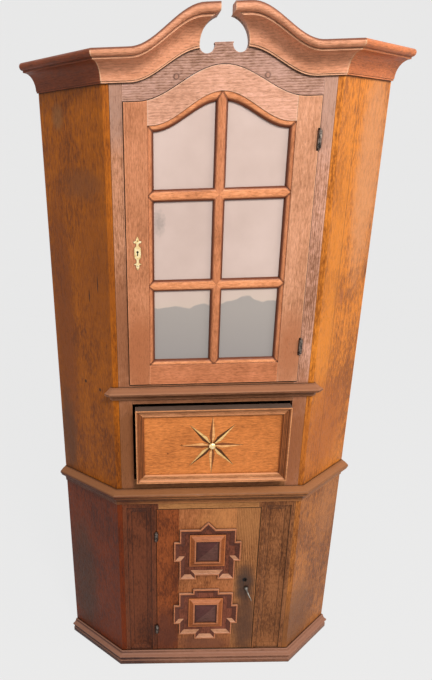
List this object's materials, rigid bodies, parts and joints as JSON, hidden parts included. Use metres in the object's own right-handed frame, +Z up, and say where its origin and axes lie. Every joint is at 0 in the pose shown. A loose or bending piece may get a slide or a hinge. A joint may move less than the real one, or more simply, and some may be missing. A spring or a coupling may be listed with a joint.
{
  "type": "corner cupboard",
  "caption": "Two-part oak corner cupboard with a panelled lower door, a drawer and an arched glazed door under a broken swan-neck cornice.",
  "frame": {"origin": "on the floor, at the centre of the bounding box in width and depth", "axes": "+Z up, +Y into the room's corner, +X to the right for someone facing the doors"},
  "size_m": [1.1152, 0.7694, 2.1585],
  "materials": {
    "base_oak": "dark waxed oak, satin",
    "side_oak": "waxed oak with lighter and darker streaks, satin",
    "grey_oak": "worn, greyed oak, satin",
    "door_oak": "orange-brown polished oak",
    "drawer_oak": "orange polished oak",
    "moulding_oak": "red-brown waxed oak mouldings",
    "inner_oak": "plain unpolished oak, matt",
    "block_oak": "red-brown oak, polished, its middle stained dark",
    "star_inlay": "inlay of light and dark wood, polished",
    "glass": "old clear window glass",
    "brass": "cast brass, rubbed",
    "iron": "dark forged iron, rubbed on the edges"
  },
  "bodies": {
    "case": {"base_floor": "inner_oak", "base_shelf": "inner_oak", "base_top_board": "inner_oak", "base_top_rail": "base_oak", "base_pilaster_left": "base_oak", "base_pilaster_right": "base_oak", "base_side_left": "base_oak", "base_side_right": "base_oak", "base_back_left": "inner_oak", "base_back_right": "inner_oak", "plinth": "moulding_oak", "waist_moulding": "moulding_oak", "upper_floor": "inner_oak", "glazed_section_floor": "inner_oak", "upper_top_board": "inner_oak", "upper_shelf_1": "inner_oak", "upper_shelf_2": "inner_oak", "upper_side_left": "side_oak", "upper_side_right": "side_oak", "upper_back_left": "inner_oak", "upper_back_right": "inner_oak", "upper_stile_left": "grey_oak", "upper_stile_right": "grey_oak", "frieze": "grey_oak", "middle_rail": "moulding_oak", "middle_moulding": "moulding_oak", "cornice_neck_left": "side_oak", "cornice_neck_right": "side_oak", "cornice_return_left": "side_oak", "cornice_return_right": "side_oak", "upper_hinge_1_case": "iron", "upper_hinge_2_case": "iron", "lower_hinge_1_case": "iron", "lower_hinge_2_case": "iron"},
    "glazed_door": {"glazed_door_stile_left": "door_oak", "glazed_door_stile_right": "door_oak", "glazed_door_head": "door_oak", "glazed_door_sill": "door_oak", "glazing_bars": "door_oak", "door_glass": "glass", "escutcheon": "brass", "upper_lock_case": "iron", "upper_hinge_1_door": "iron", "upper_hinge_2_door": "iron"},
    "lower_door": {"panel_door": "base_oak", "raised_block_upper": "block_oak", "raised_block_lower": "block_oak", "lower_lock_case": "iron", "lower_hinge_1_door": "iron", "lower_hinge_2_door": "iron"},
    "drawer": {"drawer_front": "drawer_oak", "drawer_star": "star_inlay", "drawer_knob": "brass", "drawer_side_left": "inner_oak", "drawer_side_right": "inner_oak", "drawer_back": "inner_oak", "drawer_bottom": "inner_oak"},
    "upper_bolt": {"upper_lock_bolt": "iron"},
    "lower_bolt": {"lower_lock_bolt": "iron"},
    "turn_handle": {"turn_handle": "iron"}
  },
  "joints": [
    {"name": "glazed_door_swing", "type": "hinge", "parent": "case", "child": "glazed_door", "pos_m": [0.266, -0.32875, 1.55], "axis": [0, 0, 1], "range_deg": [0, 165]},
    {"name": "lower_door_swing", "type": "hinge", "parent": "case", "child": "lower_door", "pos_m": [-0.184, -0.32875, 0.37], "axis": [0, 0, -1], "range_deg": [0, 165]},
    {"name": "drawer_slide", "type": "slide", "parent": "case", "child": "drawer", "axis": [0, -1, 0], "range_m": [-0.029, 0.271]},
    {"name": "upper_bolt_slide", "type": "slide", "parent": "glazed_door", "child": "upper_bolt", "axis": [-1, 0, 0], "range_m": [0, 0.011]},
    {"name": "lower_bolt_slide", "type": "slide", "parent": "lower_door", "child": "lower_bolt", "axis": [1, 0, 0], "range_m": [0, 0.011]},
    {"name": "turn_handle_turn", "type": "hinge", "parent": "lower_door", "child": "turn_handle", "pos_m": [0.148, -0.32275, 0.348], "axis": [0, -1, 0], "range_deg": [0, 90]}
  ]
}
